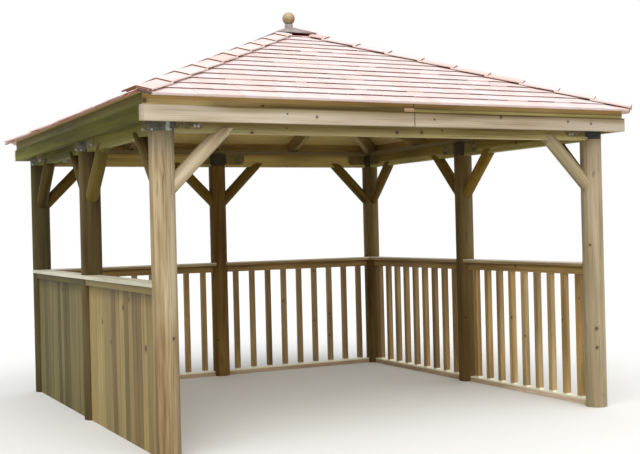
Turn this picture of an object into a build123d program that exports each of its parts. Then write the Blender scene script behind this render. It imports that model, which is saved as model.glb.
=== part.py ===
from build123d import *
import math
import os

os.makedirs("parts", exist_ok=True)

# Square garden gazebo: round posts, ring beams with knee braces, balustrades on the back and right,
# boarded panels on the left, an open front, and a hipped shingle roof.
# X runs along the open front, Y from front to back, Z up.
# The origin is the middle of the plan, on the ground.

# Plan and posts. The rise is from the beams' underside up to the posts' tops
POST_SPACING = 3300.0
POST_DIAMETER = 154.0
POST_RISE = 6.0
FIT_GAP = 0.3

# Ring beams, the flat wall plates on them, and the steel brackets on the posts: a seat plate, a round
# collar and arms along the beams
BEAM_UNDERSIDE = 1955.0
BEAM_HEIGHT = 120.0
BEAM_THICKNESS = 70.0
WALL_PLATE_WIDTH = 95.0
WALL_PLATE_THICKNESS = 30.0
SEAT_PLATE = 6.0
SIDE_PLATE = 4.0
ARM_REACH = 265.0
ARM_TOP_MARGIN = 10.0
ARM_BOTTOM_MARGIN = 24.0
ARM_CORNER_RADIUS = 38.0

# Knee braces, round logs at 45 degrees
BRACE_DIAMETER = 95.0
BRACE_REACH = 375.0
BRACE_CHEEK = 35.0
BRACE_SNIPE_RUN = 80.0

# Balustrades and boarded panels
CAP_TOP = 1058.0
CAP_THICKNESS = 28.0
CAP_WIDTH = 120.0
TOP_RAIL_HEIGHT = 62.0
TOP_RAIL_WIDTH = 45.0
BOTTOM_RAIL_HEIGHT = 45.0
BOTTOM_RAIL_WIDTH = 50.0
BALUSTER_SIZE = 44.0
BALUSTERS_PER_BAY = 9
PANEL_BOARD = 20.0
PANEL_TRIM_HEIGHT = 45.0
PANEL_CAP_OVERHANG = 5.0

# Roof frame. The deck's height is over the middle line of the wall plates
PITCH = 22.5
DECK_OVER_PLATE = 149.5
DECK_THICKNESS = 12.0
RAFTER_WIDTH = 45.0
RAFTER_DEPTH = 120.0
HIP_DROP = 165.0
KING_POST_FLATS = 130.0
KING_POST_LENGTH = 285.0

# Eaves boards. The reach is from the post line, and the lift is from the beams' underside
FASCIA_REACH = 175.0
FASCIA_THICKNESS = 45.0
FASCIA_LIFT = 55.0
FASCIA_HEIGHT = 94.0
FASCIA_JOINT_OFFSET = 28.0
FASCIA_JOINT_GAP = 1.5
EAVES_BOARD_SETBACK = 13.0

# Shingle courses and hip caps. The caps' foot and head are plan distances from the eave and the middle
EAVE_OVERHANG = 85.0
COURSE_EXPOSURE = 133.6
SHINGLE_BUTT = 16.0
SHINGLE_HEAD = 6.0
HIP_CAP_COUNT = 10
HIP_CAP_LAP = 28.0
HIP_CAP_WIDTH = 100.0
HIP_CAP_THICKNESS = 10.0
HIP_CAP_SETBACK = 52.0
HIP_CAP_HEAD = 34.0
CORNER_TRIM = 6.0

# Metal apex cap and the ball finial. The drop is from the deck's apex down to the cap's edge
APEX_CAP_HALF = 165.0
APEX_CAP_DROP = 22.0
APEX_CAP_RISE = 70.0
APEX_CAP_LIP = 9.0
APEX_CAP_SHEET = 3.0
COLLAR_DIAMETER = 67.0
COLLAR_HEIGHT = 14.0
BALL_DIAMETER = 100.0
SPINDLE_DIAMETER = 24.0
SPINDLE_DEPTH = 120.0

# Sizes that follow from the ones above
HALF = POST_SPACING / 2
POST_RADIUS = POST_DIAMETER / 2
POST_TOP = BEAM_UNDERSIDE + POST_RISE
BEAM_TOP = BEAM_UNDERSIDE + BEAM_HEIGHT
PLATE_TOP = BEAM_TOP + WALL_PLATE_THICKNESS
BEAM_HALF = BEAM_THICKNESS / 2
CAP_UNDERSIDE = CAP_TOP - CAP_THICKNESS
TOP_RAIL_UNDERSIDE = CAP_UNDERSIDE - TOP_RAIL_HEIGHT
BALUSTER_PITCH = HALF / (BALUSTERS_PER_BAY + 1)
SLOPE = math.tan(math.radians(PITCH))
SINE = math.sin(math.radians(PITCH))
COSINE = math.cos(math.radians(PITCH))
DECK_APEX = PLATE_TOP + DECK_OVER_PLATE + SLOPE * HALF
RAFTER_APEX = DECK_APEX - DECK_THICKNESS / COSINE
RAFTER_DROP = RAFTER_DEPTH / COSINE
KING_POST_BOTTOM = RAFTER_APEX - KING_POST_LENGTH
FASCIA_FACE = HALF + FASCIA_REACH
TAIL_END = FASCIA_FACE - FASCIA_THICKNESS
FASCIA_BOTTOM = BEAM_UNDERSIDE + FASCIA_LIFT
FASCIA_TOP = FASCIA_BOTTOM + FASCIA_HEIGHT
EAVES_BOARD_FACE = FASCIA_FACE - EAVES_BOARD_SETBACK
EAVE_EDGE = FASCIA_FACE + EAVE_OVERHANG
HIP_CAP_FOOT = EAVE_EDGE - HIP_CAP_SETBACK
HIP_LENGTH = (HIP_CAP_FOOT - HIP_CAP_HEAD) * math.sqrt(2 + SLOPE ** 2)
HIP_CAP_EXPOSURE = (HIP_LENGTH - HIP_CAP_LAP) / HIP_CAP_COUNT
APEX_CAP_EDGE = DECK_APEX - APEX_CAP_DROP
APEX_CAP_TOP = APEX_CAP_EDGE + APEX_CAP_RISE
COLLAR_TOP = APEX_CAP_TOP + COLLAR_HEIGHT
REACH = 2 * EAVE_EDGE
TALL = 2 * COLLAR_TOP

# The four sides as quarter turns of the front, and which posts stand where
SIDES = {"front": 0, "right": 1, "back": 2, "left": 3}
POSTS = {
    "front_left_post": (-1, -1),
    "front_right_post": (1, -1),
    "back_left_post": (-1, 1),
    "back_right_post": (1, 1),
    "middle_left_post": (-1, 0),
    "middle_right_post": (1, 0),
    "back_middle_post": (0, 1),
}


def span_box(x0, x1, y0, y1, z0, z1):
    """A box given by its limits on the three axes."""
    centre = Pos((x0 + x1) / 2, (y0 + y1) / 2, (z0 + z1) / 2)
    return centre * Box(x1 - x0, y1 - y0, z1 - z0)


def turn(shape, side):
    """The front side's shape, turned to another side."""
    return Rot(0, 0, 90 * SIDES[side]) * shape


def prism_along_x(points, x0, x1):
    """A (y, z) outline, extruded along X."""
    face = Plane.YZ * make_face(Polyline(*points, close=True).edges())
    return Pos(x0, 0, 0) * extrude(face, x1 - x0)


def prism_along_y(points, y0, y1):
    """An (x, z) outline, extruded along Y."""
    face = Plane.XZ * make_face(Polyline(*points, close=True).edges())
    return Pos(0, y1, 0) * extrude(face, y1 - y0)


def post_core(x, y, clearance=0.0):
    """The round of a post and of the collar on it, for scribing what meets them."""
    return Pos(x, y, BEAM_TOP / 2) * Cylinder(POST_RADIUS + clearance, BEAM_TOP)


def write(name, *solids):
    """One STEP file for a node, as one solid or as several that don't touch."""
    pieces = []
    for solid in solids:
        pieces.extend(solid.solids())
    shape = pieces[0] if len(pieces) == 1 else Compound(children=pieces)
    shape.label = name
    export_step(shape, f"parts/{name}.step")


def deck_height(distance):
    """Height of the top of the roof deck at a plan distance from the middle."""
    return DECK_APEX - SLOPE * distance


def rafter_height(distance):
    """Height of the top of the rafters, which is the underside of the deck."""
    return RAFTER_APEX - SLOPE * distance


def gable(apex, half):
    """Everything under a ridge that runs along X."""
    outline = [(-half, 0), (-half, apex - SLOPE * half), (0, apex), (half, apex - SLOPE * half), (half, 0)]
    return prism_along_x(outline, -half, half)


def pyramid(apex, half):
    """Everything under a hipped roof whose planes meet at this apex."""
    ridge = gable(apex, half)
    return ridge & (Rot(0, 0, 90) * ridge)


def front_wedge():
    """The quarter of the plan that the front slope covers."""
    plan = make_face(Polyline((0, 0), (-REACH, -REACH), (REACH, -REACH), close=True).edges())
    return extrude(plan, TALL)


# Posts
def make_posts():
    """Round posts that stand flat on the ground, up to the bracket's seat plate."""
    for name, (along, across) in POSTS.items():
        write(name, Pos(along * HALF, across * HALF, POST_TOP / 2) * Cylinder(POST_RADIUS, POST_TOP))


# Ring beams
def make_beams():
    """One beam to the front and two to each other side, scribed to the round collars, and the wall plates."""
    def beam(start, end):
        timber = span_box(start, end, -HALF - BEAM_HALF, -HALF + BEAM_HALF, BEAM_UNDERSIDE, BEAM_TOP)
        return timber - post_core(start, -HALF, FIT_GAP) - post_core(end, -HALF, FIT_GAP)

    write("front_beam", beam(-HALF, HALF))
    write("back_right_beam", turn(beam(-HALF, 0), "back"))
    write("back_left_beam", turn(beam(0, HALF), "back"))
    write("right_front_beam", turn(beam(-HALF, 0), "right"))
    write("right_back_beam", turn(beam(0, HALF), "right"))
    write("left_back_beam", turn(beam(-HALF, 0), "left"))
    write("left_front_beam", turn(beam(0, HALF), "left"))
    write("wall_plates", *wall_plates())


def wall_plates(clearance=0.0):
    """Flat boards over the beams, the front and back ones whole and the side ones butted between them."""
    half = WALL_PLATE_WIDTH / 2
    outer = half + clearance
    plates = []
    for side in SIDES:
        reach = HALF + outer if side in ("front", "back") else HALF - half - FIT_GAP
        plate = span_box(-reach, reach, -HALF - outer, -HALF + outer, BEAM_TOP, PLATE_TOP)
        plates.append(turn(plate, side))
    return plates


# Steel brackets
def bracket_arm():
    """Two plates that hold a beam along X, one on each face, with a rounded lower corner at the free end."""
    bottom = BEAM_UNDERSIDE + ARM_BOTTOM_MARGIN
    plate = span_box(0, ARM_REACH, 0, SIDE_PLATE, bottom, BEAM_TOP - ARM_TOP_MARGIN)
    corner = plate.edges().filter_by(Axis.Y).group_by(Axis.Z)[0].sort_by(Axis.X)[-1]
    plate = fillet(corner, ARM_CORNER_RADIUS)
    return Pos(0, -BEAM_HALF - SIDE_PLATE, 0) * plate + Pos(0, BEAM_HALF, 0) * plate


def bracket(*directions):
    """Seat plate and open round collar over a post, with arms at the given turns about it."""
    steel = Pos(0, 0, (POST_TOP + BEAM_TOP) / 2) * Cylinder(POST_RADIUS, BEAM_TOP - POST_TOP)
    for direction in directions:
        steel += Rot(0, 0, direction) * bracket_arm()
    seat_top = POST_TOP + SEAT_PLATE
    hollow = Cylinder(POST_RADIUS - SIDE_PLATE, BEAM_TOP - seat_top)
    return steel - Pos(0, 0, (seat_top + BEAM_TOP) / 2) * hollow


def make_brackets():
    """Galvanised brackets on the four corner posts and the three middle posts."""
    corner = Pos(-HALF, -HALF, 0) * bracket(0, 90)
    middle = Pos(0, -HALF, 0) * bracket(0, 180)
    write("corner_brackets", *[turn(corner, side) for side in SIDES])
    write("middle_brackets", *[turn(middle, side) for side in ("right", "back", "left")])


# Knee braces
def brace(post, direction):
    """A round log from a post on the front line to the beam, scribed to the post and notched on the beam."""
    half = BRACE_DIAMETER / 2
    foot = BEAM_UNDERSIDE - BRACE_REACH
    shoulder = BRACE_REACH - BRACE_DIAMETER / math.sqrt(2)
    cheek_top = BEAM_UNDERSIDE + BRACE_CHEEK
    far = BRACE_REACH + BRACE_CHEEK + BRACE_DIAMETER
    log = Pos(0, 0, far / math.sqrt(2)) * Cylinder(half, far * math.sqrt(2))
    log = Pos(0, 0, foot) * Rot(0, 45, 0) * log
    keep = prism_along_y(
        [
            (0, foot - BRACE_DIAMETER),
            (0, BEAM_UNDERSIDE),
            (shoulder, BEAM_UNDERSIDE),
            (shoulder + BRACE_SNIPE_RUN, cheek_top),
            (far, cheek_top),
            (far, foot - BRACE_DIAMETER),
        ],
        -BRACE_DIAMETER,
        BRACE_DIAMETER,
    )
    notch_half = BEAM_HALF + FIT_GAP
    notch = span_box(0, far, -notch_half, notch_half, BEAM_UNDERSIDE - FIT_GAP, BEAM_TOP)
    plates_half = notch_half + SIDE_PLATE
    plates_bottom = BEAM_UNDERSIDE + ARM_BOTTOM_MARGIN - FIT_GAP
    plates = span_box(0, ARM_REACH + FIT_GAP, -plates_half, plates_half, plates_bottom, BEAM_TOP)
    shaped = (log & keep) - notch - plates - post_core(0, 0, FIT_GAP)
    if direction < 0:
        shaped = mirror(shaped, Plane.YZ)
    return Pos(post, -HALF, 0) * shaped


def make_braces():
    """Two braces on the front, and four on each side that has a middle post."""
    write("front_braces", brace(-HALF, 1), brace(HALF, -1))
    for side in ("left", "back", "right"):
        logs = [brace(-HALF, 1), brace(0, -1), brace(0, 1), brace(HALF, -1)]
        write(f"{side}_braces", *[turn(log, side) for log in logs])


# Balustrades
def balustrade(start):
    """Bottom rail, square balusters and top rail of one bay on the front line, between two posts."""
    end = start + HALF
    rail = BOTTOM_RAIL_WIDTH / 2
    top_rail = TOP_RAIL_WIDTH / 2
    square = BALUSTER_SIZE / 2
    panel = span_box(start, end, -HALF - rail, -HALF + rail, 0, BOTTOM_RAIL_HEIGHT)
    panel += span_box(start, end, -HALF - top_rail, -HALF + top_rail, TOP_RAIL_UNDERSIDE, CAP_UNDERSIDE)
    for number in range(1, BALUSTERS_PER_BAY + 1):
        post = span_box(-square, square, -square, square, BOTTOM_RAIL_HEIGHT, TOP_RAIL_UNDERSIDE)
        panel += Pos(start + number * BALUSTER_PITCH, -HALF, 0) * post
    return panel - post_core(start, -HALF, FIT_GAP) - post_core(end, -HALF, FIT_GAP)


def cap_board(start, outer, mitre_start=False, mitre_end=False):
    """Flat cap rail of one bay on the front line, scribed to the posts and mitred to the next side's cap."""
    end = start + HALF
    board = span_box(start, end, -HALF - outer, -HALF - outer + CAP_WIDTH, CAP_UNDERSIDE, CAP_TOP)
    board -= post_core(start, -HALF, FIT_GAP)
    board -= post_core(end, -HALF, FIT_GAP)
    if mitre_start:
        plan = make_face(Polyline((start, -HALF), (start, 0), (start + HALF, 0), close=True).edges())
        board -= extrude(plan, TALL)
    if mitre_end:
        plan = make_face(Polyline((end, -HALF), (end, 0), (end - HALF, 0), close=True).edges())
        board -= extrude(plan, TALL)
    return board


def make_balustrades():
    """Four open bays, on the back and the right, each with its cap."""
    write("right_front_balustrade", turn(balustrade(-HALF), "right"))
    write("right_back_balustrade", turn(balustrade(0), "right"))
    write("back_right_balustrade", turn(balustrade(-HALF), "back"))
    write("back_left_balustrade", turn(balustrade(0), "back"))
    middle = CAP_WIDTH / 2
    right = [cap_board(-HALF, middle), cap_board(0, middle, mitre_end=True)]
    back = [cap_board(-HALF, middle, mitre_start=True), cap_board(0, middle)]
    write("right_cap_rails", *[turn(board, "right") for board in right])
    write("back_cap_rails", *[turn(board, "back") for board in back])


# Boarded panels
def boarded_panel(start):
    """One closed bay on the front line: two rails, boards on the outside and a trim under the cap."""
    end = start + HALF
    rail = TOP_RAIL_WIDTH / 2
    board_face = -HALF - rail - PANEL_BOARD
    panel = span_box(start, end, -HALF - rail, -HALF + rail, 0, BOTTOM_RAIL_HEIGHT)
    panel += span_box(start, end, -HALF - rail, -HALF + rail, TOP_RAIL_UNDERSIDE, CAP_UNDERSIDE)
    panel += span_box(start, end, board_face, -HALF - rail, 0, CAP_UNDERSIDE)
    trim_bottom = CAP_UNDERSIDE - PANEL_TRIM_HEIGHT
    panel += span_box(start, end, board_face - PANEL_BOARD, board_face, trim_bottom, CAP_UNDERSIDE)
    return panel - post_core(start, -HALF, FIT_GAP) - post_core(end, -HALF, FIT_GAP)


def make_panels():
    """Two boarded bays on the left, whose cap stands out past the posts."""
    write("left_back_panel", turn(boarded_panel(-HALF), "left"))
    write("left_front_panel", turn(boarded_panel(0), "left"))
    outer = POST_RADIUS + PANEL_CAP_OVERHANG
    write("left_cap_rails", *[turn(cap_board(start, outer), "left") for start in (-HALF, 0)])


# Roof frame
def king_post():
    """Eight-sided block under the apex, which the hips and middle rafters butt against."""
    outline = RegularPolygon(KING_POST_FLATS / 2, 8, major_radius=False, rotation=22.5)
    return Pos(0, 0, KING_POST_BOTTOM) * extrude(outline, RAFTER_APEX - KING_POST_BOTTOM)


def spindle(clearance=0.0):
    """The rod under the ball, down through the apex into the king post."""
    bottom = RAFTER_APEX - SPINDLE_DEPTH
    rod = Cylinder(SPINDLE_DIAMETER / 2 + clearance, COLLAR_TOP - bottom)
    return Pos(0, 0, (bottom + COLLAR_TOP) / 2) * rod


def seat_cut():
    """The wall plates, the beams with the arms on their faces, and the collars, under the roof timbers."""
    half = BEAM_HALF + SIDE_PLATE + FIT_GAP
    beam = span_box(-HALF, HALF, -HALF - half, -HALF + half, BEAM_UNDERSIDE, BEAM_TOP)
    cut = Part() + [turn(beam, side) for side in SIDES] + wall_plates(FIT_GAP)
    return cut + [post_core(along * HALF, across * HALF, FIT_GAP) for along, across in POSTS.values()]


def rafter(place, roof_block):
    """A rafter of the front slope, from the fascia to the king post or to the hip that it meets."""
    outline = [
        (-TAIL_END, rafter_height(TAIL_END)),
        (0, RAFTER_APEX),
        (0, RAFTER_APEX - RAFTER_DROP),
        (-TAIL_END, rafter_height(TAIL_END) - RAFTER_DROP),
    ]
    half = RAFTER_WIDTH / 2
    timber = prism_along_x(outline, place - half, place + half)
    if place == 0:
        return timber - roof_block
    side = half * math.sqrt(2)
    limit = [(0, -side), (-REACH, -REACH - side), (REACH, -REACH - side)]
    plan = make_face(Polyline(*limit, close=True).edges())
    return timber & extrude(plan, TALL)


def hip_rafter(roof_block, under_deck):
    """The hip over the front left corner, backed on top to both slopes."""
    diagonal = TAIL_END * math.sqrt(2)
    fall = SLOPE / math.sqrt(2)
    outline = [
        (-diagonal, RAFTER_APEX - fall * diagonal),
        (0, RAFTER_APEX),
        (0, RAFTER_APEX - HIP_DROP),
        (-diagonal, RAFTER_APEX - fall * diagonal - HIP_DROP),
    ]
    half = RAFTER_WIDTH / 2
    timber = Rot(0, 0, -45) * prism_along_x(outline, -half, half)
    inside = span_box(-TAIL_END, 0, -TAIL_END, 0, 0, TALL)
    return (timber & inside & under_deck) - roof_block


def make_roof_frame():
    """King post, four hips and three rafters to each slope, seated on the wall plates."""
    block = king_post()
    seats = seat_cut()
    under_deck = pyramid(RAFTER_APEX, EAVE_EDGE)
    write("king_post", (block & under_deck) - spindle(FIT_GAP))
    hip = hip_rafter(block, under_deck)
    write("hip_rafters", *[turn(hip, side) - seats for side in SIDES])
    front = [rafter(place, block) for place in (-HALF / 2, 0, HALF / 2)]
    write("rafters", *[turn(timber, side) - seats for side in SIDES for timber in front])


# Eaves
def upright_board(start, end, face, bottom, back_top, face_top):
    """A stretch of board on the front line, from its outer face back to the rafters' ends."""
    outline = [(-face, bottom), (-TAIL_END, bottom), (-TAIL_END, back_top), (-face, face_top)]
    return prism_along_x(outline, start, end)


def make_eaves():
    """Fascia boards in two lengths to a side, and the board above them that carries the deck's edge."""
    gap = FASCIA_JOINT_GAP / 2
    joint = FASCIA_JOINT_OFFSET
    for side in SIDES:
        reach = FASCIA_FACE if side in ("front", "back") else TAIL_END
        left = upright_board(-reach, joint - gap, FASCIA_FACE, FASCIA_BOTTOM, FASCIA_TOP, FASCIA_TOP)
        right = upright_board(joint + gap, reach, FASCIA_FACE, FASCIA_BOTTOM, FASCIA_TOP, FASCIA_TOP)
        write(f"{side}_fascia", turn(left, side), turn(right, side))
    under_deck = pyramid(RAFTER_APEX, EAVE_EDGE)
    back_top = rafter_height(TAIL_END)
    face_top = rafter_height(EAVES_BOARD_FACE)
    boards = []
    for side in SIDES:
        reach = EAVES_BOARD_FACE if side in ("front", "back") else TAIL_END - FIT_GAP
        board = upright_board(-reach, reach, EAVES_BOARD_FACE, FASCIA_TOP, back_top, face_top)
        boards.append(turn(board & under_deck, side))
    write("eaves_boards", *boards)


# Roof covering
def hip_frame(lift, tilt):
    """Axes on the front left hip, Z up the hip and Y out of the roof, at a distance up from its foot."""
    up = Vector(1, 1, SLOPE).normalized()
    out = Vector(-SLOPE, -SLOPE, 2).normalized()
    foot = Vector(-HIP_CAP_FOOT, -HIP_CAP_FOOT, deck_height(HIP_CAP_FOOT))
    direction = up * math.cos(tilt) - out * math.sin(tilt)
    return Plane(foot + up * lift, x_dir=(-1, 1, 0), z_dir=direction)


def corner_cut():
    """What lies beyond the cut across the front left corner of the shingles."""
    return hip_frame(CORNER_TRIM, 0) * Pos(0, 0, -EAVE_EDGE / 2) * Box(EAVE_EDGE, EAVE_EDGE, EAVE_EDGE)


def deck_slope():
    """The deck's front slope, plumb at the eaves and mitred on the hips."""
    outline = [
        (-EAVES_BOARD_FACE, deck_height(EAVES_BOARD_FACE)),
        (0, DECK_APEX),
        (0, RAFTER_APEX),
        (-EAVES_BOARD_FACE, rafter_height(EAVES_BOARD_FACE)),
    ]
    return (prism_along_x(outline, -REACH, REACH) & front_wedge()) - spindle(FIT_GAP)


def shingle_slope():
    """The front slope's courses, lapping each other, mitred on the hips and cut across the corners."""
    def point(along, out):
        y = -EAVE_EDGE + along * COSINE - out * SINE
        return (y, deck_height(EAVE_EDGE) + along * SINE + out * COSINE)

    slope_length = EAVE_EDGE / COSINE
    courses = math.ceil(slope_length / COURSE_EXPOSURE)
    outline = [point(0, 0)]
    for course in range(courses):
        outline.append(point(course * COURSE_EXPOSURE, SHINGLE_BUTT))
        outline.append(point((course + 1) * COURSE_EXPOSURE, SHINGLE_HEAD))
    outline.append(point(courses * COURSE_EXPOSURE, 0))
    slope = prism_along_x(outline, -REACH, REACH) & front_wedge()
    cut = corner_cut()
    return slope - cut - mirror(cut, Plane.YZ) - spindle(FIT_GAP)


def hip_cap(lift, length, base, tilt):
    """A folded cap board over the front left hip, standing off the deck at its lower end."""
    fold = math.asin(SINE / math.sqrt(2))
    across = HIP_CAP_WIDTH * math.cos(fold)
    down = HIP_CAP_WIDTH * math.sin(fold)
    low = base / math.cos(fold)
    high = (base + HIP_CAP_THICKNESS) / math.cos(fold)
    edge_x = HIP_CAP_THICKNESS * math.sin(fold)
    edge_y = HIP_CAP_THICKNESS * math.cos(fold)
    section = Polyline(
        (0, low),
        (across, low - down),
        (across + edge_x, low - down + edge_y),
        (0, high),
        (-across - edge_x, low - down + edge_y),
        (-across, low - down),
        close=True,
    )
    return extrude(hip_frame(lift, tilt) * make_face(section.edges()), length)


def hip_cap_row():
    """The caps of one hip, butts facing down the slope, with a starter piece under the lowest."""
    tilt = math.asin(HIP_CAP_THICKNESS / HIP_CAP_EXPOSURE)
    head = SHINGLE_BUTT + FIT_GAP
    length = HIP_CAP_EXPOSURE + HIP_CAP_LAP
    butt = head + length * math.sin(tilt)
    row = hip_cap(0, HIP_CAP_EXPOSURE / 2, head, 0)
    for number in range(HIP_CAP_COUNT):
        row += hip_cap(number * HIP_CAP_EXPOSURE, length, butt, tilt)
    return row - spindle(FIT_GAP)


def make_covering():
    """Deck, shingle courses and hip caps on the four slopes."""
    write("roof_deck", *[turn(deck_slope(), side) for side in SIDES])
    slope = shingle_slope()
    for side in SIDES:
        write(f"{side}_shingles", turn(slope, side))
    row = hip_cap_row()
    write("hip_caps", *[turn(row, side) for side in SIDES])


# Apex
def make_apex():
    """A folded metal cap with a turned-down lip and a collar, and a ball on top."""
    half = APEX_CAP_HALF
    top = APEX_CAP_TOP
    sheet = APEX_CAP_SHEET

    def tent(side, edge, ridge):
        lip = edge - APEX_CAP_LIP
        outline = [(-side, lip), (-side, edge), (0, ridge), (side, edge), (side, lip)]
        form = prism_along_x(outline, -side, side)
        return form & (Rot(0, 0, 90) * form)

    sheet_metal = tent(half, APEX_CAP_EDGE, top) - tent(half - sheet, APEX_CAP_EDGE - sheet, top - sheet)
    collar_bottom = top - APEX_CAP_RISE * COLLAR_DIAMETER / half
    collar = Cylinder(COLLAR_DIAMETER / 2, COLLAR_TOP - collar_bottom)
    collar = Pos(0, 0, (collar_bottom + COLLAR_TOP) / 2) * collar
    write("apex_cap", sheet_metal + collar - spindle(FIT_GAP))
    ball_centre = COLLAR_TOP + math.sqrt((BALL_DIAMETER / 2) ** 2 - (SPINDLE_DIAMETER / 2) ** 2)
    ball = Pos(0, 0, ball_centre) * Sphere(BALL_DIAMETER / 2)
    write("finial_ball", ball + spindle())


make_posts()
make_beams()
make_brackets()
make_braces()
make_balustrades()
make_panels()
make_roof_frame()
make_eaves()
make_covering()
make_apex()
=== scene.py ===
import math
import random

import bmesh
import bpy
import numpy as np
from mathutils import Matrix, Vector


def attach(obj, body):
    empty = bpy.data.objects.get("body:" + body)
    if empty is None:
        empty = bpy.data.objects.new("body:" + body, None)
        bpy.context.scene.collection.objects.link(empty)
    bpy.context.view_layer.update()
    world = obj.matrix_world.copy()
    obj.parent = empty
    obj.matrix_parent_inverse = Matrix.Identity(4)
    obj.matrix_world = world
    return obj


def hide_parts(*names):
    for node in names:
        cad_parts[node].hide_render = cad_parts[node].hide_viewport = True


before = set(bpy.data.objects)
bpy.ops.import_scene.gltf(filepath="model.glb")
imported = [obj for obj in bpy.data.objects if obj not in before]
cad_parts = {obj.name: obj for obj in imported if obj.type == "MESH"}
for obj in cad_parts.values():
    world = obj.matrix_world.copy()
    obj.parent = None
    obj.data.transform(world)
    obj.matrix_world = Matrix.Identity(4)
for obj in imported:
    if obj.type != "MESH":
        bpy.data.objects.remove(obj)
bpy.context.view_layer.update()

# The numbers of the axes. X runs along the open front, Y to the back, Z up.
X, Y, Z = 0, 1, 2

# Sizes of the real thing, in metres. HAIR keeps pieces apart that would otherwise touch.
HALF = 1.65
POST_RADIUS = 0.0773
PITCH = math.radians(22.5)
SINE, COSINE, SLOPE = math.sin(PITCH), math.cos(PITCH), math.tan(PITCH)
EAVE_EDGE = 1.91
HIP_FOOT = 1.858
DECK_APEX = 2.93795
COURSE = 0.1336
BALUSTER_STEP = HALF / 10
FOOT_RAIL_TOP = 0.045
HANDRAIL_UNDERSIDE = 0.968
CAP_UNDERSIDE = 1.030
HAIR = 0.0002
SIDES = {"front": 0, "right": 1, "back": 2, "left": 3}

# For grain along each axis, the two axes across it and the axis itself
GRAIN_AXES = {X: (Y, Z, X), Y: (X, Z, Y), Z: (X, Y, Z)}

# Where the dark, middle and pale shades lie in the grain's noise, and how far apart its rings are in metres
GRAIN_STOPS = (0.2, 0.5, 0.82)
RING_STEP = 0.011
WOOD_ROUGHNESS = 0.52

# How much wood reflects in the open, under the roof and on the mossy fascia
IN_OPEN, UNDER_ROOF, MATT = 0.35, 0.1, 0.05

# How far the edges of big timber, of small timber and of the logs' cuts are rounded
BIG_EDGE, SMALL_EDGE, LOG_EDGE = 0.003, 0.002, 0.0015


def rgb(red, green, blue):
    """A colour given as it shows on a screen, 0 to 255, in linear light."""
    def linear(value):
        value /= 255
        return value / 12.92 if value <= 0.04045 else ((value + 0.055) / 1.055) ** 2.4
    return (linear(red), linear(green), linear(blue), 1.0)


class Graph:
    """A material and short ways to add nodes to it. An input may be a socket or a plain value."""

    def __init__(self, name):
        self.material = bpy.data.materials.new(name)
        self.material.use_nodes = True
        self.tree = self.material.node_tree
        self.tree.nodes.clear()
        self.shader = self.node("ShaderNodeBsdfPrincipled")
        output = self.node("ShaderNodeOutputMaterial")
        self.tree.links.new(self.shader.outputs[0], output.inputs["Surface"])

    def node(self, kind, inputs=None, **settings):
        made = self.tree.nodes.new(kind)
        for key, value in settings.items():
            setattr(made, key, value)
        for key, value in (inputs or {}).items():
            self.set(made.inputs[key], value)
        return made

    def set(self, socket, value):
        if isinstance(value, bpy.types.NodeSocket):
            self.tree.links.new(value, socket)
        else:
            socket.default_value = value

    def math(self, operation, a, b=0.0, c=0.0):
        return self.node("ShaderNodeMath", {0: a, 1: b, 2: c}, operation=operation).outputs[0]

    def xyz(self, vector):
        split = self.node("ShaderNodeSeparateXYZ", {0: vector})
        return split.outputs[0], split.outputs[1], split.outputs[2]

    def vector(self, x, y, z):
        return self.node("ShaderNodeCombineXYZ", {0: x, 1: y, 2: z}).outputs[0]

    def object_xyz(self):
        return self.xyz(self.node("ShaderNodeTexCoord").outputs["Object"])

    def attribute(self, name):
        return self.node("ShaderNodeAttribute", attribute_name=name)

    def noise(self, vector, scale=1.0, detail=2.0, roughness=0.5):
        return self.node("ShaderNodeTexNoise", {"Vector": vector, "Scale": scale, "Detail": detail,
                                                "Roughness": roughness}).outputs[0]

    def stretched(self, place, across, along, detail=2.0, roughness=0.5):
        """Noise drawn out along the grain: the scales are bumps per metre."""
        a, b, length = place
        vector = self.vector(self.math("MULTIPLY", a, across), self.math("MULTIPLY", b, across),
                             self.math("MULTIPLY", length, along))
        return self.noise(vector, 1.0, detail, roughness)

    def white(self, value):
        """A random number that is the same wherever the value is the same."""
        return self.node("ShaderNodeTexWhiteNoise", {"W": value}, noise_dimensions="1D").outputs[0]

    def ramp(self, factor, stops):
        made = self.node("ShaderNodeValToRGB", {0: factor})
        points = made.color_ramp.elements
        while len(points) < len(stops):
            points.new(1.0)
        for point, (place, colour) in zip(points, stops):
            point.position = place
            point.color = colour
        return made.outputs[0]

    def band(self, value, low, high, out_low=0.0, out_high=1.0):
        """A smooth step from one value to another."""
        return self.node("ShaderNodeMapRange", {0: value, 1: low, 2: high, 3: out_low, 4: out_high},
                         interpolation_type="SMOOTHSTEP").outputs[0]

    def mix(self, factor, a, b, blend="MIX"):
        made = self.node("ShaderNodeMix", data_type="RGBA", blend_type=blend)
        self.set(made.inputs[0], factor)
        self.set(made.inputs[6], a)
        self.set(made.inputs[7], b)
        return made.outputs[2]

    def faded(self, colour, fades):
        """A colour tinted from one place to another along an axis, mostly painted shade or light here: (axis,
        low, high, tint) for each fade.

        More (axis, low, high) after the tint hold it to where they are all past their high ends.
        """
        for axis, low, high, tint, *limits in fades:
            amount = self.band(self.object_xyz()[axis], low, high)
            for limit in limits:
                amount = self.math("MULTIPLY", amount, self.band(self.object_xyz()[limit[0]], *limit[1:]))
            colour = self.mix(amount, colour, self.mix(1.0, colour, tint, "MULTIPLY"))
        return colour

    def bump(self, height, distance, strength):
        made = self.node("ShaderNodeBump", {"Height": height, "Distance": distance, "Strength": strength})
        self.tree.links.new(made.outputs[0], self.shader.inputs["Normal"])


# Where the grain runs, as (across, across, along) in metres
def grain_axis(axis):
    """Straight grain along one of the frame's axes."""
    def place(g):
        sockets = g.object_xyz()
        return tuple(sockets[number] for number in GRAIN_AXES[axis])
    return place


def grain_board(g):
    """Each board has its own grain, kept in its vertices."""
    return g.xyz(g.attribute("grain").outputs["Vector"])


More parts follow.
